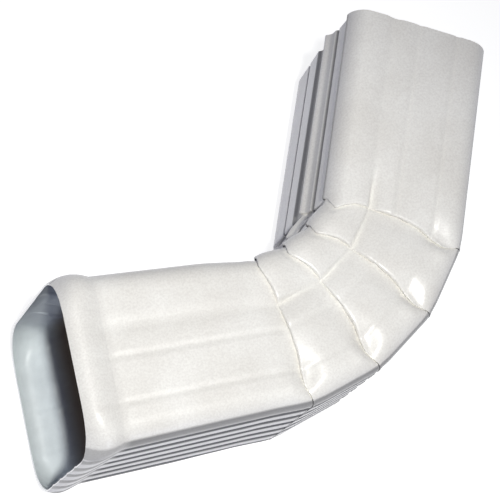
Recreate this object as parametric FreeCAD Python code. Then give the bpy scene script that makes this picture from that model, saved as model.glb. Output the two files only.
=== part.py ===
import FreeCAD, Part
import math
import os

# Downspout elbow, folded from one tube of thin painted aluminium sheet.
# The lower leg runs along +X from its belled mouth, the bend turns towards +Y,
# and Z is across the bend. The origin is the centre of the belled mouth.
# All lengths are in millimetres and all angles in degrees.

doc = FreeCAD.newDocument("downspout_elbow")
sheet = doc.addObject("Spreadsheet::Sheet", "Sizes")

sizes = [
    ("width", 60.3, "outside size in the plane of the bend, throat to heel"),
    ("depth", 82.6, "outside size across the bend"),
    ("wall", 0.6, "thickness of the sheet"),
    ("corner_radius", 8.5, "outside radius of the four long corners"),
    ("throat_radius", 41.0, "from the centre of the bend to the throat face"),
    ("fold_angle", 17.0, "turn made by one crimped fold"),
    ("fold_count", 4, "number of crimped folds"),
    ("belled_leg", 81.5, "throat face from the first fold to the belled rim"),
    ("plain_leg", 77.0, "throat face from the last fold to the cut end"),
    ("lap_length", 8.0, "how far a fold laps inside at the throat"),
    ("lap_at_heel", 1.6, "what is left of the lap at the heel"),
    ("fold_roll", 0.7, "length of the rolled edge of a fold"),
    ("heel_step", 0.3, "height of a fold's step where it dies out at the heel"),
    ("crease_depth", 2.6, "depth of the main flute where the folds pinch it"),
    ("crease_run", 24.0, "how far the pinched flute runs on into each leg"),
    ("bell_length", 14.0, "length of the belled swell"),
    ("bell_rise", 3.5, "how far the swell stands out from the side faces"),
    ("bell_rise_in_bend", 2.0, "how far it stands out from the throat and heel faces"),
    ("leg_spread", 2.9, "how far the throat and heel faces open out at the belled rim"),
    ("mouth_skew", 5.5, "how far the bell is out of square, in degrees"),
    ("cut_slope", 3.0, "lean of the cut end that makes the throat side longer, in degrees"),
    ("cut_skew", 2.5, "lean of the cut end that makes one side face longer, in degrees"),
    ("rim_return", 1.9, "how far the rim comes back in from the crest"),
    ("crest_at", 5.0, "distance of the crest from the rim"),
    ("bell_fade", 0.45, "share of the rib height that is left at the crest"),
    ("groove_depth", 1.6, "depth of the grooves between the long ribs"),
    ("groove_width", 5.5, "width of those grooves at the top"),
    ("heel_rib_count", 5, "ribs on the heel face"),
    ("heel_land", 1.0, "flat between a corner and the first heel groove"),
    ("throat_land", 3.0, "flat between a corner and the first throat groove"),
    ("seam_top", 5.0, "width of the closed seam's top along the throat face"),
    ("seam_rise", 1.1, "how far the seam stands above the ribs"),
    ("flute_at", 20.5, "main flute of a side face, from the throat face"),
    ("flute_width", 7.0, "width of the main flute"),
    ("flute_depth", 1.1, "depth of the main flute along the legs"),
    ("line_gap", 6.7, "from the main flute's edge to the first narrow groove"),
    ("heel_line_at", 13.8, "second narrow groove of a side face, from the heel"),
    ("line_width", 3.2, "width of a narrow groove"),
    ("line_depth", 0.7, "depth of a narrow groove"),
]
for row, (alias, value, note) in enumerate(sizes, start=1):
    sheet.set("A%d" % row, alias)
    sheet.set("B%d" % row, str(value))
    sheet.setAlias("B%d" % row, alias)
    sheet.set("C%d" % row, note)
doc.recompute()


def size(alias):
    return float(sheet.get(alias))


width = size("width")
depth = size("depth")
wall = size("wall")
fold_angle = size("fold_angle")
fold_count = int(size("fold_count"))
crease_depth = size("crease_depth")
flute_depth = size("flute_depth")
lean = math.tan(math.radians(fold_angle / 2))
gore_length = 2 * (size("throat_radius") + width) * lean
gore_at_throat = 2 * size("throat_radius") * lean
fold_step = 2 * wall


def groove(centre, opening, drop):
    """One groove in a face, as four (position along the face, drop below it)."""
    floor = opening / 3
    return [(centre - opening / 2, 0.0), (centre - floor / 2, drop),
            (centre + floor / 2, drop), (centre + opening / 2, 0.0)]


def line(centre, opening, drop):
    """One narrow groove with a sharp floor."""
    return [(centre - opening / 2, 0.0), (centre, drop), (centre + opening / 2, 0.0)]


def heel_face(ribs):
    """Even ribs between the two heel corners, with a groove on each side of each rib."""
    opening = size("groove_width")
    outer = depth / 2 - size("corner_radius") - size("heel_land") - opening / 2
    count = int(size("heel_rib_count"))
    points = []
    for number in range(count + 1):
        centre = outer * (2 * number / count - 1)
        points += groove(centre, opening, ribs * size("groove_depth"))
    return points


def throat_face(ribs, lap):
    """Two grooves on each side of the raised seam, which carries the sheet's lapped edge."""
    opening = size("groove_width")
    drop = ribs * size("groove_depth")
    outer = depth / 2 - size("corner_radius") - size("throat_land") - opening / 2
    top = ribs * size("seam_rise") + lap
    seam = size("seam_top")
    points = groove(-outer, opening, drop)
    points += groove(-outer / 2, opening, drop)
    points += [(-0.3 * seam, 0.0), (0.0, -top), (seam, -top)]
    points += groove(outer / 2, opening, drop)[1:]
    points += groove(outer, opening, drop)
    return points


def side_face(ribs, flute):
    """The main flute and two narrow grooves, by distance from the throat face."""
    main = size("flute_at")
    narrow = size("line_width")
    first = main + size("flute_width") / 2 + size("line_gap")
    second = width - size("heel_line_at")
    points = groove(main, size("flute_width"), flute)
    points += line(first, narrow, ribs * size("line_depth"))
    points += line(second, narrow, ribs * size("line_depth"))
    return points


def outline(ribs, flute, lap):
    """Closed polygon round the tube, as (height above the heel, position across, is corner).

    A point marked as a corner is where the two faces' planes meet: an arc rounds it.
    """
    radius = size("corner_radius")
    side = depth / 2
    half = [(0.0, side - radius, False), (0.0, side, True), (radius, side, False)]
    half += [(width - place, side - drop, False) for place, drop in side_face(ribs, flute)[::-1]]
    half += [(width - radius, side, False), (width, side, True), (width, side - radius, False)]
    points = [(drop, place, False) for place, drop in heel_face(ribs)]
    points += half
    points += [(width - drop, place, False) for place, drop in throat_face(ribs, lap)[::-1]]
    points += [(height, -across, mark) for height, across, mark in half[::-1]]
    return points


def inset(points, distance):
    """The polygon with every edge moved inwards by distance."""
    moved = []
    count = len(points)
    for number, (height, across, mark) in enumerate(points):
        before = points[number - 1]
        after = points[(number + 1) % count]
        run_in = (height - before[0], across - before[1])
        run_out = (after[0] - height, after[1] - across)
        length_in = math.hypot(*run_in)
        length_out = math.hypot(*run_out)
        normal_in = (run_in[1] / length_in, -run_in[0] / length_in)
        normal_out = (run_out[1] / length_out, -run_out[0] / length_out)
        share = 1 + normal_in[0] * normal_out[0] + normal_in[1] * normal_out[1]
        moved.append((height + distance * (normal_in[0] + normal_out[0]) / share,
                      across + distance * (normal_in[1] + normal_out[1]) / share, mark))
    return moved


def swell(points, rise_in_bend, rise):
    """The polygon grown about the tube's axis, in the bend's plane and across it."""
    tall = 1 + 2 * rise_in_bend / width
    broad = 1 + 2 * rise / depth
    return [(width / 2 + (height - width / 2) * tall, across * broad, mark)
            for height, across, mark in points]


def tuck(points, step):
    """The polygon drawn in by step at the throat and by the heel step at the heel."""
    low = size("heel_step") * step / fold_step
    drawn = []
    for height, across, mark in points:
        amount = low + (step - low) * height / width
        drawn.append((low + height * (1 - (step + low) / width),
                      across * (1 - 2 * amount / depth), mark))
    return drawn


def section(name, points, heel_point, direction, station, slope, skew=0.0):
    """A closed section wire: it crosses the leg at station, and leans by slope and skew."""
    spots = [FreeCAD.Vector(height * slope + across * skew, height, across)
             for height, across, mark in points]
    edges = []
    for number in range(len(points)):
        following = (number + 1) % len(points)
        if points[number][2]:
            arc = Part.BezierCurve()
            arc.setPoles([spots[number - 1], spots[number], spots[following]])
            arc.setWeight(2, math.sqrt(0.5))
            edges.append(arc.toShape())
        elif not points[following][2]:
            edges.append(Part.LineSegment(spots[number], spots[following]).toShape())
    turn = math.radians(direction)
    along = FreeCAD.Vector(math.cos(turn), math.sin(turn), 0)
    feature = doc.addObject("Part::Feature", name)
    feature.Shape = Part.Wire(edges)
    feature.Placement = FreeCAD.Placement(
        heel_point + along * station, FreeCAD.Rotation(FreeCAD.Vector(0, 0, 1), direction))
    return feature


def bell_share(distance):
    """Share of the bell's full rise at a distance from its rim."""
    crest = size("crest_at")
    if distance < crest:
        return 1 - size("rim_return") / size("bell_rise") * (1 - distance / crest) ** 2
    run = (distance - crest) / (size("bell_length") - crest)
    return 0.5 + 0.5 * math.cos(math.pi * min(run, 1))


def bell_stations():
    crest = size("crest_at")
    end = size("bell_length")
    stations = [0.0, crest * 0.25, crest * 0.6]
    stations += [crest + (end - crest) * share for share in (0.0, 0.25, 0.5, 0.75, 1.0)]
    return stations


def skin(label, thickness):
    """Sections along the whole elbow for its outside (thickness 0) or its inside."""
    inner = thickness > 0
    lap = 0.0 if inner else wall
    run = size("crease_run")
    roll = size("fold_roll")
    sections = []

    def add(points, place, direction, station, slope, step=0.0, rises=(0.0, 0.0), skew=0.0):
        points = tuck(swell(inset(points, thickness), *rises), step)
        name = "%s_%02d" % (label, len(sections))
        sections.append(section(name, points, place, direction, station, slope, skew))

    place = FreeCAD.Vector(0, -width / 2, 0)
    direction = 0.0
    fade = size("bell_fade")
    plain = outline(1.0, flute_depth, lap)
    pinched = outline(1.0, crease_depth, lap)
    spread = size("leg_spread")
    skew = math.tan(math.radians(size("mouth_skew")))
    leg = size("belled_leg") + width * lean
    for distance in bell_stations():
        rise = bell_share(distance)
        share = 1 - (1 - fade) * rise
        points = outline(share, share * flute_depth, lap)
        opening = rise * size("bell_rise_in_bend") + spread * (1 - distance / leg)
        rises = (opening, rise * size("bell_rise"))
        add(points, place, direction, distance, 0.0, rises=rises, skew=skew)
    start = leg - width * lean - run
    add(plain, place, direction, start, 0.0, rises=(spread * (1 - start / leg), 0.0))
    for number in range(fold_count):
        place = place + FreeCAD.Vector(math.cos(math.radians(direction)),
                                       math.sin(math.radians(direction)), 0) * leg
        add(pinched, place, direction, 0.0, -lean, step=fold_step)
        direction += fold_angle
        if inner:
            edge = size("lap_at_heel")
            reach = lean + (size("lap_length") - edge) / width
            closing = 0.0
            if number < fold_count - 1:
                closing = fold_step * (size("lap_length") + roll) / gore_at_throat
            add(pinched, place, direction, edge, reach, step=fold_step + closing)
            add(pinched, place, direction, edge + roll, reach, step=closing)
        else:
            add(pinched, place, direction, 0.1 * roll, lean, step=fold_step * 0.35)
            add(pinched, place, direction, roll, lean)
        leg = gore_length
    leg = size("plain_leg") + width * lean
    slope = math.tan(math.radians(size("cut_slope")))
    skew = math.tan(math.radians(size("cut_skew")))
    add(plain, place, direction, width * lean + run, 0.0)
    add(plain, place, direction, leg - width / 2 * slope, slope, skew=skew)
    return sections


def bands(sections):
    """Straight-ruled faces from each section to the next, edge to edge."""
    faces = []
    for first, second in zip(sections, sections[1:]):
        for edge, partner in zip(first.Shape.Edges, second.Shape.Edges):
            faces.append(Part.makeRuledSurface(edge, partner))
    return faces


outside = skin("outside", 0.0)
inside = skin("inside", wall)
doc.recompute()

# The bands run up the outside, over the cut edge, back down the inside and
# over the belled rim, so that the sheet closes on itself.
shell = Part.makeShell(bands(outside + inside[::-1] + outside[:1]))
shell.sewShape()
folded = Part.makeSolid(shell)
if folded.Volume < 0:
    folded.reverse()

elbow = doc.addObject("Part::Feature", "Elbow")
elbow.Label = "crimped_elbow"
elbow.Shape = folded
elbow.Placement = FreeCAD.Placement()
doc.recompute()

for item in doc.Objects:
    if "Invalid" in item.State or "Error" in item.State:
        raise RuntimeError("%s did not build" % item.Name)
if elbow.Shape.isNull() or not elbow.Shape.isValid():
    raise RuntimeError("the elbow is not a valid solid")

os.makedirs("parts", exist_ok=True)
elbow.Shape.exportStep("parts/%s.step" % elbow.Label)
print("%s: %d solid, %.1f cm3" % (elbow.Label, len(elbow.Shape.Solids), elbow.Shape.Volume / 1000))
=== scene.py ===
# %% [markdown]
# # A crimped downspout elbow
#
# This lesson models one folded sheet-metal fitting: a rectangular rainwater elbow of white
# enamelled aluminium. The real one starts as a flat strip. It is rolled between shaped wheels,
# which press the long ribs in, closed with a seam into a tube, crimped four times to turn it, and
# swelled at one end. The lesson follows that order. It begins with the frame, the measured solid
# that fixes where everything is, and notes the solid's box, on which the floor is later laid.

# %% Load the frame
import bpy
import math
import numpy as np
from mathutils import Matrix, Vector


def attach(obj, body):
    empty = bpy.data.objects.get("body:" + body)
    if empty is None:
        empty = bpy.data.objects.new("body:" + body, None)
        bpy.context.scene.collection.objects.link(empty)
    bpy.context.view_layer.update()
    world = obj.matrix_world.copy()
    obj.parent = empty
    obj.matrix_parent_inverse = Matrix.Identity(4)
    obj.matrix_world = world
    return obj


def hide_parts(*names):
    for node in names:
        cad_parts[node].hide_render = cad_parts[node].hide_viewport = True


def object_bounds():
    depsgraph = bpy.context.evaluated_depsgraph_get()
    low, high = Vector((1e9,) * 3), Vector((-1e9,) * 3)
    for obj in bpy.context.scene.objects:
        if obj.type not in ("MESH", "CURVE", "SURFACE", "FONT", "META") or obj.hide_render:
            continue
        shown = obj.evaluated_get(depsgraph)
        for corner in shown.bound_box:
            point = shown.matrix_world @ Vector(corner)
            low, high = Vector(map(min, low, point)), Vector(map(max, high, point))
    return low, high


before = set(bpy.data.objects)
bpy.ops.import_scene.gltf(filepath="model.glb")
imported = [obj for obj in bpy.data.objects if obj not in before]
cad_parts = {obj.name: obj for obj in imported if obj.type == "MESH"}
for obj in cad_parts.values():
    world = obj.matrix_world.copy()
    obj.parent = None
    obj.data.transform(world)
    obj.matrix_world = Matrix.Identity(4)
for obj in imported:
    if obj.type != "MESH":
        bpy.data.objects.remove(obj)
cad_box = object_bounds()
print("frame nodes:", sorted(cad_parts))

# %% [markdown]
# All sizes are written in millimetres, as a maker would, and turned into Blender's metres only
# when points are placed. The elbow's lower leg runs along +X from its belled mouth, the bend turns
# towards +Y, and Z is across the bend. Heights in the section are counted from the heel, the
# outside of the bend, to the throat, the inside.

# %% Sizes of the elbow
MM = 0.001
WIDTH = 60.3
DEPTH = 82.6
WALL = 0.6
CORNER = 8.5
THROAT_RADIUS = 41.0
FOLD_ANGLE = 17.0
FOLDS = 4
BELLED_LEG = 81.5
PLAIN_LEG = 77.0
LEAN = math.tan(math.radians(FOLD_ANGLE / 2))
HEEL_LENGTHS = [BELLED_LEG + WIDTH * LEAN]
HEEL_LENGTHS += [2 * (THROAT_RADIUS + WIDTH) * LEAN] * (FOLDS - 1)
HEEL_LENGTHS += [PLAIN_LEG + WIDTH * LEAN]
print("heel lengths of the five straight parts:", [round(length, 1) for length in HEEL_LENGTHS])

# %% [markdown]
# The camera comes early, because every look at the work goes through it. It stands where the
# photographer stood: nearly above the elbow, a little towards the mouth and the heel. Three turns
# give the view, and the lens is long, so the perspective is mild.

# %% Camera
CAMERA_TURNS = (-0.2463, 0.3018, 0.2304)
CAMERA_SHIFT = (-21.25, 25.39)
CAMERA_DISTANCE = 692.6
SENSOR_WIDTH = 36
PHOTO_WIDTH = 500
FOCAL_PIXELS = 1733.8
LENS = FOCAL_PIXELS * SENSOR_WIDTH / PHOTO_WIDTH
BEND_CENTRE = Vector((BELLED_LEG - THROAT_RADIUS * LEAN, WIDTH / 2 + THROAT_RADIUS, 0))


def add_camera():
    """The long lens above the elbow, set by three turns and an offset from the bend's centre."""
    tip, swing, roll = CAMERA_TURNS
    view = Matrix.Rotation(roll, 3, "Z") @ Matrix.Rotation(tip, 3, "X")
    view = view @ Matrix.Rotation(swing, 3, "Y")
    back = view.transposed()
    offset = back @ Vector((-CAMERA_SHIFT[0], -CAMERA_SHIFT[1], CAMERA_DISTANCE))
    data = bpy.data.cameras.new("photo_camera")
    data.lens = LENS
    data.clip_end = 10
    camera = bpy.data.objects.new("photo_camera", data)
    bpy.context.collection.objects.link(camera)
    camera.matrix_world = Matrix.Translation((BEND_CENTRE + offset) * MM) @ back.to_4x4()
    bpy.context.scene.camera = camera
    return camera


camera = add_camera()
print("camera at", [round(value, 3) for value in camera.matrix_world.translation])

# %% [markdown]
# The section of the tube is a rectangle with round corners. Its points are walked once round, and
# lie closer together where ribs and grooves will be pressed, so that few points make clean ribs.
# Each point keeps its place, the direction that is outwards there, and which face it lies on.

# %% Where the grooves run
GROOVE = 4.6
GROOVE_DEPTH = 1.7
HEEL_MARGIN = 3.7
HEEL_COUNT = 6
HEEL_OUTER = DEPTH / 2 - CORNER - HEEL_MARGIN
HEEL_GROOVES = np.linspace(-HEEL_OUTER, HEEL_OUTER, HEEL_COUNT).tolist()
# Place across the throat face and drop of the sheet there; the seam stands up at 11.3 to 12.3.
THROAT_PROFILE = [(-33, 0), (-16.2, 0.2), (-15.1, 1.5), (-14, 0.2), (-2, 0.3), (0, 1.5),
                  (10.4, 1.5), (11.3, -1.5), (12.3, -1.6), (14.6, 0.0), (15.6, 0.3), (18.9, 0.5),
                  (19.9, 1.8), (20.9, 1.1), (31, 1.2), (32.1, 1.7), (33, 0.1)]
THROAT_STEPS = (-15.1, -1.0, 12.0, 19.9, 32.0)
FLUTE_AT = 20.5
LINE_AT = 30.7
HEEL_LINE_AT = 46.5
print("heel grooves at", [round(place, 1) for place in HEEL_GROOVES])

# %% The walk round the section
HEEL, RIGHT, THROAT, LEFT = range(4)


def section_point(distance):
    """Place, outward direction and face of the point at a distance round the plain section."""
    flat_heel = DEPTH - 2 * CORNER
    flat_side = WIDTH - 2 * CORNER
    arc = CORNER * math.pi / 2
    spans = [flat_heel, arc, flat_side, arc, flat_heel, arc, flat_side, arc]
    side = DEPTH / 2 - CORNER
    centres = [(CORNER, side), (WIDTH - CORNER, side), (WIDTH - CORNER, -side), (CORNER, -side)]
    number = 0
    while number < 7 and distance > spans[number]:
        distance -= spans[number]
        number += 1
    turn, corner = divmod(number, 2)
    start = math.pi + turn * -math.pi / 2
    outward = (math.cos(start), math.sin(start))
    if corner:
        angle = start - distance / CORNER
        outward = (math.cos(angle), math.sin(angle))
        centre = centres[turn]
        return centre[0] + CORNER * outward[0], centre[1] + CORNER * outward[1], outward, None
    if turn == HEEL:
        return 0.0, distance - side, outward, HEEL
    if turn == RIGHT:
        return CORNER + distance, DEPTH / 2, outward, RIGHT
    if turn == THROAT:
        return WIDTH, side - distance, outward, THROAT
    return WIDTH - CORNER - distance, -DEPTH / 2, outward, LEFT


PERIMETER = 2 * (WIDTH + DEPTH - 4 * CORNER) + 2 * math.pi * CORNER
print("perimeter of the section:", round(PERIMETER, 1), "mm")

# %% Points of the section
AROUND = 236


def groove_edges():
    """Distances round the section near which a rib, groove or seam has its slopes."""
    side = DEPTH / 2 - CORNER
    arc = CORNER * math.pi / 2
    right = DEPTH - 2 * CORNER + arc
    throat = right + WIDTH - 2 * CORNER + arc
    left = throat + DEPTH - 2 * CORNER + arc
    places = [centre + side for centre in HEEL_GROOVES]
    places += [throat + side - centre for centre in THROAT_STEPS]
    for from_throat in (FLUTE_AT, LINE_AT, HEEL_LINE_AT):
        places.append(right + WIDTH - CORNER - from_throat)
        places.append(left + from_throat - CORNER)
    return places


def spread_points():
    """Distances round the section, closer together at the grooves and corners."""
    fine = np.linspace(0, PERIMETER, 6001)[:-1]
    need = np.full(len(fine), 0.45)
    for place in groove_edges():
        gap = np.abs(fine - place)
        need += 1.3 * (np.minimum(gap, PERIMETER - gap) < 2.6)
    for start in (0, 1, 2, 3):
        lengths = (DEPTH, WIDTH, DEPTH, WIDTH)
        begin = sum(lengths[:start]) - start * 2 * CORNER + start * CORNER * math.pi / 2
        begin += lengths[start] - 2 * CORNER
        need += 0.55 * ((fine > begin) & (fine < begin + CORNER * math.pi / 2))
    total = np.concatenate([[0], np.cumsum(need)])
    wanted = np.arange(AROUND) / AROUND * total[-1]
    return np.interp(wanted, total, np.append(fine, PERIMETER))


walk = [section_point(distance) for distance in spread_points()]
HEIGHT = np.array([point[0] for point in walk])
ACROSS = np.array([point[1] for point in walk])
OUT_HEIGHT = np.array([point[2][0] for point in walk])
OUT_ACROSS = np.array([point[2][1] for point in walk])
ON_HEEL = np.array([point[3] == HEEL for point in walk])
ON_THROAT = np.array([point[3] == THROAT for point in walk])
FROM_THROAT = WIDTH - HEIGHT
UP = HEIGHT / WIDTH
SIDE_SHARE = np.clip(np.abs(OUT_ACROSS), 0, 1) ** 2
print("points round the section:", len(walk))

# %% [markdown]
# Ribs, grooves and flutes are all one kind of mark: a strip pressed into the sheet, with sloping
# walls and a flat or rounded floor. Each is written as how far the surface drops below the plain
# section. The seam is the opposite, a low ridge with a steep side, where the free edge of the sheet
# is locked down, and a gentle side.

# %% Marks pressed into the sheet
def smooth(value):
    value = np.clip(value, 0.0, 1.0)
    return value * value * (3 - 2 * value)


def pressed(place, centre, opening, floor):
    """1 on the floor of a groove and 0 outside it, with smooth walls between."""
    reach = np.abs(place - centre)
    return smooth((opening / 2 - reach) / (opening / 2 - floor / 2))


def press_ribs():
    """Drop of the heel grooves and of the throat face's steps and seam."""
    drop = np.zeros(AROUND)
    for centre in HEEL_GROOVES:
        drop += ON_HEEL * GROOVE_DEPTH * pressed(ACROSS, centre, GROOVE, 0.6)
    places, drops = zip(*THROAT_PROFILE)
    return drop + ON_THROAT * np.interp(ACROSS, places, drops)


def press_flutes(main_depth, line_depth):
    """Drop of the flutes in the two side faces."""
    drop = main_depth * pressed(FROM_THROAT, FLUTE_AT, 8.5, 1.0)
    drop += line_depth * pressed(FROM_THROAT, LINE_AT, 3.6, 0.6)
    drop += line_depth * pressed(FROM_THROAT, HEEL_LINE_AT, 3.4, 0.6)
    return drop * SIDE_SHARE


RIBS = press_ribs()
print("deepest groove", round(float(RIBS.max()), 2), "mm, seam", round(-float(RIBS.min()), 2), "mm")

# %% [markdown]
# The bend is five straight pieces that meet on slanting planes. A point is placed by the piece it
# is on, its height above the heel, and how far along the piece it lies. When that runs past the
# end of the piece, it goes on along the next one, so that a fold's hidden laps turn with the sheet.

# %% Placing points along the bend
HEEL_STARTS = [np.array([0.0, -WIDTH / 2])]
for number, length in enumerate(HEEL_LENGTHS):
    turn = math.radians(FOLD_ANGLE * number)
    HEEL_STARTS.append(HEEL_STARTS[-1] + length * np.array([math.cos(turn), math.sin(turn)]))


def first_lean(piece, height):
    """How far the plane at the start of a piece has leant forward at a height above the heel."""
    return LEAN * height if piece > 0 else 0 * height


def piece_length(piece, height):
    """Length of a straight piece at a height above the heel."""
    leans = (1 if piece > 0 else 0) + (1 if piece < FOLDS else 0)
    return HEEL_LENGTHS[piece] - leans * LEAN * height


def place_points(piece, along, height, across):
    """Points of the elbow, in millimetres, for arrays of along, height and across."""
    result = np.zeros((len(height), 3))
    length = piece_length(piece, height)
    before = (along < 0) & (piece > 0)
    after = (along > length) & (piece < FOLDS)
    for chosen, where, shift in ((before, piece - 1, "end"), (after, piece + 1, "start"),
                                 (~before & ~after, piece, None)):
        if not chosen.any():
            continue
        high = height[chosen]
        run = along[chosen]
        if shift == "end":
            run = run + piece_length(where, high)
        if shift == "start":
            run = run - length[chosen]
        run = run + first_lean(where, high)
        turn = math.radians(FOLD_ANGLE * where)
        start = HEEL_STARTS[where]
        result[chosen, 0] = start[0] + math.cos(turn) * run - math.sin(turn) * high
        result[chosen, 1] = start[1] + math.sin(turn) * run + math.cos(turn) * high
        result[chosen, 2] = across[chosen]
    return result


print("the cut end's heel is at", [round(float(v), 1) for v in HEEL_STARTS[-1]])

# %% [markdown]
# The list of rings follows. A ring is one loop of points round the tube, and the sheet is the
# skin over all rings. Along the plain parts a ring every few millimetres is enough. Each fold
# takes many: the sheet comes up from below, runs on inside the piece above, doubles back down,
# rolls round a small radius and becomes the outside of the piece above. The lap is long at the
# throat and fades to a soft dent at the heel, as it does when a crimping die bites from one side
# only. The folds' edges don't run straight: they wander along the tube, each by its own amount.

# %% Shape of the folds
BITE = smooth(UP / 0.24)
ROLL = 0.08 + 0.55 * BITE
LAP = 0.5 + 7.5 * UP
STEP = 2 * ROLL + 0.04
THINNED = (ROLL / (ROLL.max())) ** 0.9
FOLD_WANDER = np.interp(FROM_THROAT, [0, 1.5, 5, 9, 14, 20, 32, 41, 47, 52, 57, 60.3],
                        [0, -3.2, -3.6, -1.4, 0.6, 1.3, 1.3, 0.7, -1.0, -2.2, -1.8, 0])
FOLD_SHIFT = [-0.6, 0.0, 0.0, -0.5]
FOLD_SPREAD = [0.55, 1.0, 1.0, 1.35]
FLUTE_DEPTHS = [0.45, 0.5, 0.5, 0.5, 0.9]
LINE_DEPTHS = [0.35, 0.2, 0.2, 0.2, 0.5]
FOLD_HEEL_ENDS = [-1.6, -1.8, -1.6, -2.4]
FAR_HEEL_DROPS = [4.6, 4.6, 3.6, 2.0, 1.0]
EDGE_CLEAR = 1.6
SHORT_OF_LINE = 0.5
DRAWN_IN_OVER = 24.0


def fold_line(fold):
    """How far a fold's edge wanders along the tube from the plane in which the pieces meet."""
    return FOLD_WANDER * FOLD_SPREAD[fold] * SIDE_SHARE + FOLD_SHIFT[fold] * SIDE_SHARE


print("lap at the throat", round(float(LAP.max()), 1), "mm")

# %% [markdown]
# Pressing the folds also pinches the sides. The main flute deepens to a crease through the bend, a
# shallow dimple forms above each fold close to the heel, and between two folds the sheet stays a
# little proud, like a pillow. These are what catch the light, so they are shaped, not painted.

# %% Dents and creases of the bend
def bump(value, width):
    """1 in the middle, fading evenly to both sides."""
    return np.exp(-0.5 * (value / width) ** 2)


def crease(above, below):
    """Main flute pinched by the folds: steep on the throat side, gentle towards the heel."""
    depth = 2.7 * smooth(1 - above / 21) + 0.9 * smooth(1 - below / 9)
    run = FROM_THROAT - FLUTE_AT
    steep = smooth((run + 1.3) / 1.3)
    gentle = (1 - np.clip(run / 8.5, 0, 1)) ** 1.8
    return depth * steep * gentle * SIDE_SHARE


def fold_relief(beyond, heel_end):
    """Drop beside a fold, by the distance beyond the plane in which two pieces meet."""
    near_heel = smooth(1 - HEIGHT / 14) * (1 - 0.5 * SIDE_SHARE)
    dimple = bump(FROM_THROAT - 49.0, 4.4) * bump(beyond - 0.6, 3.2)
    scoop = bump(FROM_THROAT - 54.5, 2.6) * bump(beyond - heel_end, 1.5)
    ledge = bump(FROM_THROAT - 52.0, 3.2) * bump(beyond - heel_end + 3.4, 2.2)
    pinch = bump(beyond + 2.2, 2.2) * smooth((FROM_THROAT - 18) / 10)
    on_side = 2.1 * dimple + 1.4 * scoop - 0.9 * ledge + 0.35 * pinch
    return SIDE_SHARE * on_side + 0.3 * near_heel * bump(beyond - 1.5, 1.8)


print("dimple beside a fold:", round(float(fold_relief(0.6, FOLD_HEEL_ENDS[0]).max()), 1), "mm")

# %% [markdown]
# One function then adds up all that the bend does to a piece: both folds' dents, the deepened
# flutes, the pillow between two folds and the long corner underneath, which gave way when the
# folds were pressed.

# %% Relief of one piece
def far_corner_drop(piece, along):
    """The far long corners gave way a little when the folds were pressed."""
    far = smooth((-ACROSS - 30) / 10)
    low = smooth(1 - HEIGHT / 16) * far
    high = smooth(1 - FROM_THROAT / 14) * far
    if piece == 0:
        return FAR_HEEL_DROPS[piece] * low * smooth((along - 48) / 38)
    if piece == FOLDS:
        return 1.3 * high + FAR_HEEL_DROPS[piece] * low * smooth(1 - along / 30)
    return FAR_HEEL_DROPS[piece] * low + 1.2 * high


def bend_relief(piece, along):
    """Drop of the surface from crease, dimples and pillows on one piece."""
    length = piece_length(piece, HEIGHT)
    above = np.full(AROUND, 1e3)
    below = np.full(AROUND, 1e3)
    drop = np.zeros(AROUND)
    if piece > 0:
        above = np.abs(along - fold_line(piece - 1))
        drop += fold_relief(along, FOLD_HEEL_ENDS[piece - 1])
    if piece < FOLDS:
        below = np.abs(length - along)
        drop += fold_relief(along - length, FOLD_HEEL_ENDS[piece])
    drop += press_flutes(FLUTE_DEPTHS[piece], LINE_DEPTHS[piece]) + crease(above, below)
    if 0 < piece < FOLDS:
        share = np.clip(along / length, 0, 1)
        body = smooth((FROM_THROAT - 26) / 12) * smooth((58 - FROM_THROAT) / 10)
        collar = smooth((18 - FROM_THROAT) / 8)
        drop -= (0.8 * body + 0.7 * collar) * np.sin(math.pi * share) * SIDE_SHARE
    return drop + far_corner_drop(piece, along)


print("main flute beside a fold:", round(float(crease(0, 99).max()), 1), "mm deeper")

# %% [markdown]
# The belled end is swelled last on the real elbow: it rises in an S from the leg, reaches its crest
# and comes back in to a thin rim. The leg behind it also opens a little, so that the next piece of
# pipe goes in. The ribs are pressed half flat where the bell is widest.

# %% The belled mouth
BELL_LENGTH = 14.0
BELL_RISE = 3.5
BELL_RISE_IN_BEND = 2.0
CREST_AT = 5.0
RIM_RETURN = 1.9
RIM_CORNER = 18.0
LEG_SPREAD = 0.037
MOUTH_SKEW = math.tan(math.radians(5.5))
# At the mouth, at the four folds' planes and at the cut end.
THROAT_LEAN = [0.0, 0.0, 0.5, 1.8, 3.6, 2.7]
CUT_SLOPE = math.tan(math.radians(3.0))
CUT_SKEW = math.tan(math.radians(2.5))


def bell_share(distance):
    """Swell of the bell as a share of its full rise."""
    if distance < CREST_AT:
        return 1 - RIM_RETURN / BELL_RISE * (1 - distance / CREST_AT) ** 2
    share = min((distance - CREST_AT) / (BELL_LENGTH - CREST_AT), 1)
    round_back = (1 - share ** 2.2) ** 0.85
    return 0.25 + 0.25 * math.cos(math.pi * share) + 0.5 * round_back


def throat_lean(piece, along):
    """How far the throat face leans in towards its near corner: most at the last fold."""
    length = np.mean(piece_length(piece, HEIGHT))
    share = np.clip(along / length, 0, 1)
    lean = THROAT_LEAN[piece] + share * (THROAT_LEAN[piece + 1] - THROAT_LEAN[piece])
    return lean * np.clip(ACROSS / 41, 0, 1) * smooth(1 - FROM_THROAT / 16)


print("swell at the crest:", round(BELL_RISE * bell_share(CREST_AT), 2), "mm")

# %% [markdown]
# A ring puts everything together: the section with its ribs, less the relief, opened by the bell
# and the spread of the leg, and slanted where the mouth is out of square.

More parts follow.
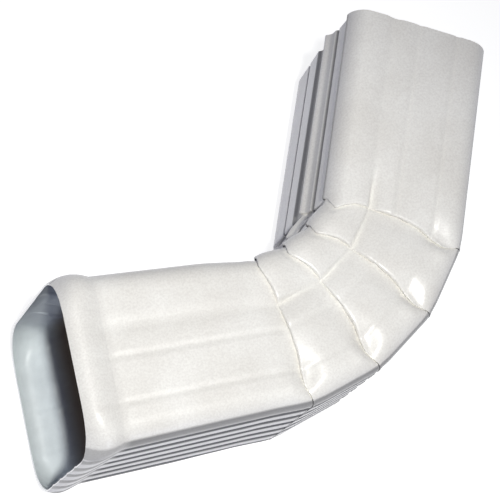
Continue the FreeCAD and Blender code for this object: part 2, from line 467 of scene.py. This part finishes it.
# %% One ring of points
def round_corners(height, across, sizes, radius):
    """Draws the four long corners in to a larger radius."""
    up = height - WIDTH / 2
    past_up = np.maximum(np.abs(up) - sizes[0] + radius, 0.001)
    past_side = np.maximum(np.abs(across) - sizes[1] + radius, 0.001)
    corner = (past_up > 0.001) & (past_side > 0.001)
    scale = np.where(corner, np.minimum(1, radius / np.hypot(past_up, past_side)), 1)
    up = up - np.sign(up) * past_up * (1 - scale)
    across = across - np.sign(across) * past_side * (1 - scale)
    return up + WIDTH / 2, across


def ring(piece, along, drop, swell=0.0, marks=1.0, corner=CORNER):
    """One loop of points; drop is taken from the ribs, and swell opens the section."""
    along = along + np.zeros(AROUND)
    spread = np.zeros(AROUND)
    if piece == 0:
        spread = LEG_SPREAD * np.maximum(BEND_CENTRE.x - along, 0)
        fade = np.clip(1 - (along - BELL_LENGTH) / 40, 0, 1)
        along = along + MOUTH_SKEW * ACROSS * fade
    rise = swell * (BELL_RISE_IN_BEND + (BELL_RISE - BELL_RISE_IN_BEND) * np.abs(OUT_ACROSS))
    out = rise + marks * -RIBS - drop
    height = HEIGHT + OUT_HEIGHT * out + spread * (2 * UP - 1) - throat_lean(piece, along)
    across = ACROSS + OUT_ACROSS * out
    if swell > 0:
        sizes = (WIDTH / 2 + spread + swell * BELL_RISE_IN_BEND, DEPTH / 2 + swell * BELL_RISE)
        height, across = round_corners(height, across, sizes, corner)
    return place_points(piece, along, height, across)


print("points in a ring:", len(ring(0, BELL_LENGTH, np.zeros(AROUND))))

# %% [markdown]
# The bell takes twenty rings, because its S is tight. The expanding tool has pressed the ribs
# nearly flat on the side faces and the throat, and left them half deep at the heel.

# %% Rings of the bell
BELL_RINGS = 20


def bell_marks(distance):
    """Share of the ribs that the bell leaves: most at the heel, least on the side faces."""
    places = (0.0, CREST_AT, BELL_LENGTH)
    at_heel = np.interp(distance, places, (0.15, 0.5, 1.0))
    at_throat = np.interp(distance, places, (0.03, 0.12, 1.0))
    at_sides = np.interp(distance, places, (0.0, 0.08, 1.0))
    return np.where(ON_HEEL, at_heel, np.where(ON_THROAT, at_throat, at_sides))


def bell_rings():
    """Rings from the rim over the crest to the leg."""
    rings = []
    for distance in np.linspace(0, BELL_LENGTH, BELL_RINGS):
        swell = bell_share(distance)
        marks = bell_marks(distance)
        drop = marks * bend_relief(0, np.full(AROUND, distance))
        corner = RIM_CORNER + (CORNER - RIM_CORNER) * smooth(distance / BELL_LENGTH)
        rings.append(ring(0, distance, drop, swell, marks, corner))
    return rings


print("rings in the bell:", len(bell_rings()))

# %% [markdown]
# A plain part runs from the fold below it to the fold above it. It leaves the lower fold at full
# size and is drawn in by one fold's thickness towards the upper one, where it slips under its
# neighbour.

# %% Rings of the straight parts and folds
def closing(piece, along):
    """How far a piece is drawn in at a distance along it, to slip under the next piece."""
    if piece == FOLDS:
        return np.zeros(AROUND)
    last = piece_length(piece, HEIGHT) + fold_line(piece) - SHORT_OF_LINE
    first = last - DRAWN_IN_OVER if piece == 0 else fold_line(piece - 1) + ROLL + EDGE_CLEAR
    shadow_gap = 0.45 * BITE * smooth(1 - (last - along) / 2.5)
    return STEP * smooth((along - first) / (last - first)) + shadow_gap


def straight_rings(piece, first, count):
    """Rings from the array first up to the next fold, or to the cut end of the last piece."""
    last = piece_length(piece, HEIGHT)
    if piece < FOLDS:
        last = last + fold_line(piece) - SHORT_OF_LINE
    else:
        last = last + CUT_SLOPE * (HEIGHT - WIDTH / 2) + CUT_SKEW * ACROSS
    rings = []
    for share in np.linspace(0, 1, count)[1:]:
        along = first + share * (last - first)
        rings.append(ring(piece, along, bend_relief(piece, along) + closing(piece, along)))
    return rings


print("a piece is drawn in by", round(float(STEP.max()), 2), "mm")

# %% [markdown]
# A fold's rings follow the sheet's own route: up inside the next piece, back down, and round the
# rolled edge. Where the outside is dented, the two hidden layers are dented more widely, so that
# they don't come through it.

# %% Rings of a fold
def widened(drop):
    """The drop with its low places made wider, as the inner layers of a fold need them."""
    wide = drop
    for step in range(1, 5):
        wide = np.maximum(wide, np.maximum(np.roll(drop, step), np.roll(drop, -step)))
    return wide


def fold_rings(fold):
    """Rings of one fold: up inside the next piece, back down, and round the rolled edge."""
    piece = fold + 1
    line = fold_line(fold)
    route = [(line + 0.3 * LAP, STEP), (line + LAP, STEP), (line + LAP + 0.3, STEP - 0.03)]
    route += [(line + LAP, 2 * ROLL), (line + 0.5 * LAP + 0.5 * ROLL, 2 * ROLL)]
    for angle in (180, 150, 120, 90, 60, 30, 0):
        turn = math.radians(angle)
        route.append((line + ROLL * (1 - math.sin(turn)), ROLL * (1 - math.cos(turn))))
    route += [(line + ROLL + 0.7, 0.0), (line + ROLL + EDGE_CLEAR, 0.0)]
    rings = []
    for along, level in route:
        relief = bend_relief(piece, along)
        under = smooth(level / ROLL - 0.6)
        relief = relief + under * (widened(relief) - relief)
        rings.append(ring(piece, along, relief + level + closing(piece, along)))
    return rings


print("rings in one fold:", len(fold_rings(0)))

# %% [markdown]
# The rings are listed from the mouth to the cut end. It is noted which of them lie in a fold,
# because the doubled sheet is modelled thinner there, and how much painted shade each takes.

# %% All rings in order
LEG_RINGS = 26
GORE_RINGS = 17
CUT_END_RINGS = 28
# Share of the painted shade that the bell's rings take.
BELL_SHADE = 0.6

rings = bell_rings()
bell_count = len(rings)
rings += straight_rings(0, BELL_LENGTH, LEG_RINGS)
in_fold = [False] * len(rings)
for fold in range(FOLDS):
    in_fold[-1] = True
    folded = fold_rings(fold)
    start = fold_line(fold) + ROLL + EDGE_CLEAR
    count = CUT_END_RINGS if fold == FOLDS - 1 else GORE_RINGS
    straight = straight_rings(fold + 1, start, count)
    rings += folded + straight
    in_fold += [True] * (len(folded) - 1) + [False] * (len(straight) + 1)
painted_shade_share = [BELL_SHADE if number < bell_count else 1.0 for number in range(len(rings))]
print("rings along the elbow:", len(rings))

# %% [markdown]
# Shade is painted along the steps of the throat face, in the heel's grooves and under its long
# corners, where the seam casts its shadow and where the grooves and the corners' undersides face
# away from the light. It follows the ribs, so it is kept as a number of each point and not as a
# pattern in space.
# It follows the ribs, so it is kept as a number of each point and not as a pattern in space.

# %% Where shade is painted
def between(place, low, high):
    """1 between low and high, with soft ends of half a millimetre."""
    return smooth((place - low) / 0.5) * smooth((high - place) / 0.5)


# From, to and share of painted shade across the throat face.
THROAT_SHADE = [(-16.4, -14.8, 0.9), (-2.6, 10.8, 0.72), (14.9, 18.7, 0.3), (18.9, 20.4, 0.85),
               (31.4, 34.5, 0.8)]
# Painted shade in the heel's grooves and under its long corners, which face away from the light.
GROOVE_SHADE = 0.95
GROOVE_SHADE_REACH = (3.2, 0.8)
CORNER_SHADE = 0.7
CORNER_SHADE_FROM = HEEL_OUTER + 1.5


def shade_paint_around():
    """Share of painted shade at each point round the section: along the throat's and heel's steps.
    """
    painted_shade = np.zeros(AROUND)
    for low, high, share in THROAT_SHADE:
        painted_shade = np.maximum(painted_shade, share * between(ACROSS, low, high))
    near_throat = ON_THROAT | ((FROM_THROAT < 1.2) & (ACROSS > 0))
    lines = CORNER_SHADE * smooth((np.abs(ACROSS) - CORNER_SHADE_FROM) / 0.5)
    below, above = GROOVE_SHADE_REACH
    for centre in HEEL_GROOVES:
        groove = between(ACROSS, centre - below, centre + above)
        lines = np.maximum(lines, GROOVE_SHADE * groove)
    near_heel = ON_HEEL | (OUT_HEIGHT < -0.86)
    return near_throat * painted_shade + near_heel * lines


print("share of dirt where it is thickest:", round(float(shade_paint_around().max()), 2))

# %% [markdown]
# Now the sheet itself. A flat grid has as many squares as there are rings and points, and rolling
# it up moves each corner to its place. The two long edges then lie on each other and are merged,
# as the seamer closes them. Each point keeps two numbers of its own: how much of the thickness is
# left there, and how much painted shade lies there.

# %% Roll the flat grid into the elbow
def to_object_mode():
    """Leaves edit mode and deselects everything."""
    if bpy.context.object and bpy.context.object.mode != "OBJECT":
        bpy.ops.object.mode_set(mode="OBJECT")
    bpy.ops.object.select_all(action="DESELECT")


def roll_sheet(name):
    """The rolled sheet, with a vertex group for its thickness and an attribute of painted shade."""
    to_object_mode()
    bpy.ops.mesh.primitive_grid_add(x_subdivisions=AROUND, y_subdivisions=len(rings) - 1, size=1)
    sheet = bpy.context.object
    sheet.name = name
    mesh = sheet.data
    flat = np.zeros(len(mesh.vertices) * 3)
    mesh.vertices.foreach_get("co", flat)
    flat = flat.reshape(-1, 3)
    column = np.rint((flat[:, 0] + 0.5) * AROUND).astype(int) % AROUND
    row = np.rint((flat[:, 1] + 0.5) * (len(rings) - 1)).astype(int)
    rolled = np.array(rings)[row, column] * MM
    mesh.vertices.foreach_set("co", rolled.ravel())
    mesh.update()
    group = sheet.vertex_groups.new(name="thickness_left")
    shares = np.where(np.array(in_fold)[row], THINNED[column], 1.0)
    for number, share in enumerate(shares):
        group.add([number], float(share), "REPLACE")
    # Painted shade of each point; none on the bell's throat face.
    shade_paint = mesh.attributes.new("shade_paint", "FLOAT", "POINT")
    unshaded = ON_THROAT[column] & (row < bell_count)
    shade_weight = np.where(unshaded, 0.0, np.array(painted_shade_share)[row])
    shade_paint.data.foreach_set("value", shade_paint_around()[column] * shade_weight)
    bpy.ops.object.mode_set(mode="EDIT")
    bpy.ops.mesh.select_all(action="SELECT")
    bpy.ops.mesh.remove_doubles(threshold=0.000001)
    bpy.ops.object.mode_set(mode="OBJECT")
    return sheet


def faces_inwards(sheet):
    """True if a face of the lower leg points to the tube's axis."""
    for face in sheet.data.polygons:
        if 0.03 < face.center.x < 0.05:
            middle = Vector((face.center.x, 0, 0))
            return face.normal.dot(face.center - middle) < 0
    return False


elbow = roll_sheet("elbow_sheet")
if faces_inwards(elbow):
    bpy.ops.object.mode_set(mode="EDIT")
    bpy.ops.mesh.select_all(action="SELECT")
    bpy.ops.mesh.flip_normals()
    bpy.ops.object.mode_set(mode="OBJECT")
print("sheet:", len(elbow.data.vertices), "points,", len(elbow.data.polygons), "squares")

# %% [markdown]
# Colours are picked as sRGB hex values and turned to the linear values that shaders expect. One
# small helper adds a node with its settings and links, so that each finish reads as a short recipe.

# %% Colour and node helpers
def colour(hex_value):
    """Linear RGBA of an sRGB colour written as RRGGBB."""
    channels = [int(hex_value[place:place + 2], 16) / 255 for place in (0, 2, 4)]
    linear = [c / 12.92 if c <= 0.04045 else ((c + 0.055) / 1.055) ** 2.4 for c in channels]
    return (*linear, 1.0)


def add_node(tree, kind, links=(), **settings):
    """Adds a node; settings name sockets or properties, links are (input, from_node, output)."""
    node = tree.nodes.new(kind)
    for key, value in settings.items():
        if key in node.inputs:
            node.inputs[key].default_value = value
        elif hasattr(node, key):
            setattr(node, key, value)
        else:
            node.inputs[key.replace("_", " ")].default_value = value
    for socket, source, output in links:
        tree.links.new(source.outputs[output], node.inputs[socket])
    return node


def new_material(name):
    """An empty node material and its tree."""
    material = bpy.data.materials.new(name)
    material.use_nodes = True
    tree = material.node_tree
    tree.nodes.clear()
    return material, tree


print("white enamel is", [round(v, 2) for v in colour("F4F3ED")])

# %% [markdown]
# The outside is a warm white baked enamel, rolled on to the flat strip before it was formed. It is
# smooth but not glassy: satin, with a very fine mottle that shows in the light. Painted shade
# darkens it to grey where the sheet's own shade number says so.

# %% Baked enamel outside
def baked_enamel():
    """Satin white polyester enamel with a thin clear gloss and painted grey shade in its steps."""
    material, tree = new_material("baked_white_enamel")
    place = add_node(tree, "ShaderNodeTexCoord")
    grain = add_node(tree, "ShaderNodeTexNoise", [("Vector", place, "Object")],
                     Scale=1300.0, Detail=2.0, Roughness=0.6)
    cloud = add_node(tree, "ShaderNodeTexNoise", [("Vector", place, "Object")],
                     Scale=45.0, Detail=2.0, Roughness=0.5)
    tone = add_node(tree, "ShaderNodeValToRGB", [("Fac", grain, "Fac")])
    tone.color_ramp.elements[0].position = 0.3
    tone.color_ramp.elements[0].color = colour("E6E4DE")
    tone.color_ramp.elements[1].position = 0.68
    tone.color_ramp.elements[1].color = colour("F4F3ED")
    haze = add_node(tree, "ShaderNodeValToRGB", [("Fac", cloud, "Fac")])
    haze.color_ramp.elements[0].position = 0.35
    haze.color_ramp.elements[0].color = colour("F6F5F4")
    haze.color_ramp.elements[1].position = 0.65
    haze.color_ramp.elements[1].color = colour("FFFFFF")
    mixed = add_node(tree, "ShaderNodeMix", data_type="RGBA", blend_type="MULTIPLY")
    mixed.inputs["Factor"].default_value = 1.0
    tree.links.new(tone.outputs["Color"], mixed.inputs[6])
    tree.links.new(haze.outputs["Color"], mixed.inputs[7])
    lines = add_node(tree, "ShaderNodeAttribute", attribute_name="shade_paint")
    shaded_colour = add_node(tree, "ShaderNodeMix", [("Factor", lines, "Fac")], data_type="RGBA")
    tree.links.new(mixed.outputs[2], shaded_colour.inputs[6])
    # Dark slate of the painted shade.
    shaded_colour.inputs[7].default_value = colour("2E3038")
    peel = add_node(tree, "ShaderNodeBump", [("Height", grain, "Fac")],
                    Strength=0.12, Distance=0.0002)
    paint = add_node(tree, "ShaderNodeBsdfPrincipled", [("Normal", peel, "Normal")],
                     Roughness=0.4, IOR=1.5)
    paint.inputs["Coat Weight"].default_value = 0.5
    paint.inputs["Coat Roughness"].default_value = 0.16
    tree.links.new(shaded_colour.outputs[2], paint.inputs["Base Color"])
    add_node(tree, "ShaderNodeOutputMaterial", [("Surface", paint, "BSDF")])
    return material


enamel = baked_enamel()
print("outside:", enamel.name)

# %% [markdown]
# The inside wears the thinner back coat, a pale blue-grey. Further in it is darkened to brown:
# painted shade of the leg's inside, which lies out of the light.

# %% Back coat inside
def back_coat():
    """Thin blue-grey primer, pale near the mouth and darkened by painted brown shade further in."""
    material, tree = new_material("blue_grey_back_coat")
    place = add_node(tree, "ShaderNodeTexCoord")
    cloud = add_node(tree, "ShaderNodeTexNoise", [("Vector", place, "Object")],
                     Scale=120.0, Detail=4.0, Roughness=0.6)
    tone = add_node(tree, "ShaderNodeValToRGB", [("Fac", cloud, "Fac")])
    tone.color_ramp.elements[0].position = 0.35
    tone.color_ramp.elements[0].color = colour("CDD5D7")
    tone.color_ramp.elements[1].position = 0.7
    tone.color_ramp.elements[1].color = colour("DAE2E4")
    apart = add_node(tree, "ShaderNodeSeparateXYZ", [("Vector", place, "Object")])
    depth_in = add_node(tree, "ShaderNodeMapRange", [("Value", apart, "X")],
                        interpolation_type="SMOOTHSTEP")
    depth_in.inputs["From Min"].default_value = 0.009
    depth_in.inputs["From Max"].default_value = 0.019
    # Brown painted shade further into the leg.
    inner_shade = add_node(tree, "ShaderNodeMix", [("Factor", depth_in, "Result")], data_type="RGBA")
    tree.links.new(tone.outputs["Color"], inner_shade.inputs[6])
    inner_shade.inputs[7].default_value = colour("8C7E6E")
    paint = add_node(tree, "ShaderNodeBsdfPrincipled", Roughness=0.42, IOR=1.5)
    tree.links.new(inner_shade.outputs[2], paint.inputs["Base Color"])
    add_node(tree, "ShaderNodeOutputMaterial", [("Surface", paint, "BSDF")])
    return material


coat = back_coat()
print("inside:", coat.name)

# %% [markdown]
# The rim and the cut end show the sheet's thickness: bare aluminium, with a fine unevenness in its
# roughness.

# %% Bare edge
def bare_edge():
    """Sheared aluminium of the rim and the cut end, dull from the shears."""
    material, tree = new_material("bare_aluminium_edge")
    place = add_node(tree, "ShaderNodeTexCoord")
    grain = add_node(tree, "ShaderNodeTexNoise", [("Vector", place, "Object")],
                     Scale=1500.0, Detail=2.0)
    rough = add_node(tree, "ShaderNodeMapRange", [("Value", grain, "Fac")])
    rough.inputs["To Min"].default_value = 0.3
    rough.inputs["To Max"].default_value = 0.5
    metal = add_node(tree, "ShaderNodeBsdfPrincipled", [("Roughness", rough, "Result")],
                     Metallic=1.0)
    metal.inputs["Base Color"].default_value = colour("D9DADC")
    add_node(tree, "ShaderNodeOutputMaterial", [("Surface", metal, "BSDF")])
    return material


for finish in (enamel, coat, bare_edge()):
    elbow.data.materials.append(finish)
print("finishes:", [finish.name for finish in elbow.data.materials])

# %% [markdown]
# The sheet gets its thickness inwards, so the outside keeps its measured size. Smooth shading then
# runs over ribs and rolled edges, and stops at the sharp cut edges.

# %% Thickness and shading
thickness = elbow.modifiers.new("sheet_thickness", "SOLIDIFY")
thickness.thickness = WALL * MM
thickness.offset = -1
thickness.material_offset = 1
thickness.material_offset_rim = 2
thickness.vertex_group = "thickness_left"
to_object_mode()
elbow.select_set(True)
bpy.context.view_layer.objects.active = elbow
bpy.ops.object.modifier_apply(modifier="sheet_thickness")
bpy.ops.object.shade_smooth_by_angle(angle=math.radians(60))
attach(elbow, "root")
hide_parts("crimped_elbow")
print("finished sheet:", len(elbow.data.polygons), "squares")

# %% [markdown]
# The floor is a plain pale sheet of paper. To the camera, and to rays that a mirror or glass sends
# on, it is nearly white and keeps the elbow's soft shadow. To soft light it is a quiet grey lilac,
# so that the ribs that face away from the lamps stay readable instead of filling with white.

# %% Floor
def backdrop_rays(tree):
    """1 for rays that look straight, through glass or by a mirror at the backdrop."""
    rays = add_node(tree, "ShaderNodeLightPath")
    direct = add_node(tree, "ShaderNodeMath", [("Value", rays, "Is Camera Ray")],
                      operation="MAXIMUM")
    tree.links.new(rays.outputs["Is Transmission Ray"], direct.inputs[1])
    seen = add_node(tree, "ShaderNodeMath", [("Value", direct, "Value")], operation="MAXIMUM")
    tree.links.new(rays.outputs["Is Glossy Ray"], seen.inputs[1])
    return seen


def pale_floor():
    """White paper to look at, grey lilac paper to be lit by."""
    material, tree = new_material("pale_paper")
    seen = backdrop_rays(tree)
    quiet = add_node(tree, "ShaderNodeBsdfDiffuse", Color=colour("77799A"))
    paper = add_node(tree, "ShaderNodeBsdfDiffuse", Color=colour("9A9A9A"))
    glow = add_node(tree, "ShaderNodeEmission", Color=(1, 1, 1, 1), Strength=0.86)
    bright = add_node(tree, "ShaderNodeAddShader")
    tree.links.new(paper.outputs[0], bright.inputs[0])
    tree.links.new(glow.outputs[0], bright.inputs[1])
    chosen = add_node(tree, "ShaderNodeMixShader", [("Fac", seen, "Value")])
    tree.links.new(quiet.outputs[0], chosen.inputs[1])
    tree.links.new(bright.outputs[0], chosen.inputs[2])
    add_node(tree, "ShaderNodeOutputMaterial", [("Surface", chosen, "Shader")])
    return material


FLOOR_SIZE = 6
to_object_mode()
bpy.ops.mesh.primitive_plane_add(size=FLOOR_SIZE, location=(0.1, 0.05, cad_box[0][2]))
floor = bpy.context.object
floor.name = "paper_floor"
floor.data.materials.append(pale_floor())
print("floor at", round(floor.location.z, 4))

# %% [markdown]
# The key light stands almost straight above, a little towards the mouth and the heel. Its beam is
# centred on the lower leg and falls off over the upper one, and it leaves the inside of the leg in
# the shade. Two weak, low lamps reach the faces that stand upright, one the throat's and one the
# heel's. A lilac sky gives the rest, and behind everything the camera sees plain white.

# %% Lamps and sky
def add_lamp(name, kind, place, aim, power, tint, **settings):
    """A lamp that stands at a place and looks at a point."""
    data = bpy.data.lights.new(name, kind)
    data.energy = power
    data.color = tint
    for key, value in settings.items():
        setattr(data, key, value)
    lamp = bpy.data.objects.new(name, data)
    bpy.context.collection.objects.link(lamp)
    lamp.location = place
    lamp.rotation_euler = (Vector(aim) - Vector(place)).to_track_quat("-Z", "Y").to_euler()
    return lamp


KEY_TINT = (1.0, 0.99, 0.95)
FILL_TINT = (0.8, 0.84, 1.0)
FILL_AIM = (0.1, 0.05, 0)
add_lamp("key_lamp", "SPOT", (-0.08, -0.22, 1.25), (0.02, -0.015, 0.04), 55, KEY_TINT,
         shadow_soft_size=0.04, spot_size=math.radians(27), spot_blend=1.0)
add_lamp("throat_fill", "AREA", (-0.9, 0.12, 0.22), FILL_AIM, 0.5, FILL_TINT, size=0.4)
add_lamp("heel_fill", "AREA", (0.15, -1.0, 0.2), FILL_AIM, 1.3, FILL_TINT, size=0.4)
world = bpy.data.worlds.new("studio_sky")
bpy.context.scene.world = world
world.use_nodes = True
sky_tree = world.node_tree
sky = sky_tree.nodes["Background"]
sky.inputs["Color"].default_value = colour("C9CEF0")
sky.inputs["Strength"].default_value = 0.20
white = add_node(sky_tree, "ShaderNodeBackground", Color=(1, 1, 1, 1), Strength=1.0)
backdrop = add_node(sky_tree, "ShaderNodeMixShader",
                    [("Fac", backdrop_rays(sky_tree), "Value")])
sky_tree.links.new(sky.outputs[0], backdrop.inputs[1])
sky_tree.links.new(white.outputs[0], backdrop.inputs[2])
sky_tree.links.new(backdrop.outputs[0], sky_tree.nodes["World Output"].inputs["Surface"])
bpy.context.scene.view_settings.view_transform = "Standard"
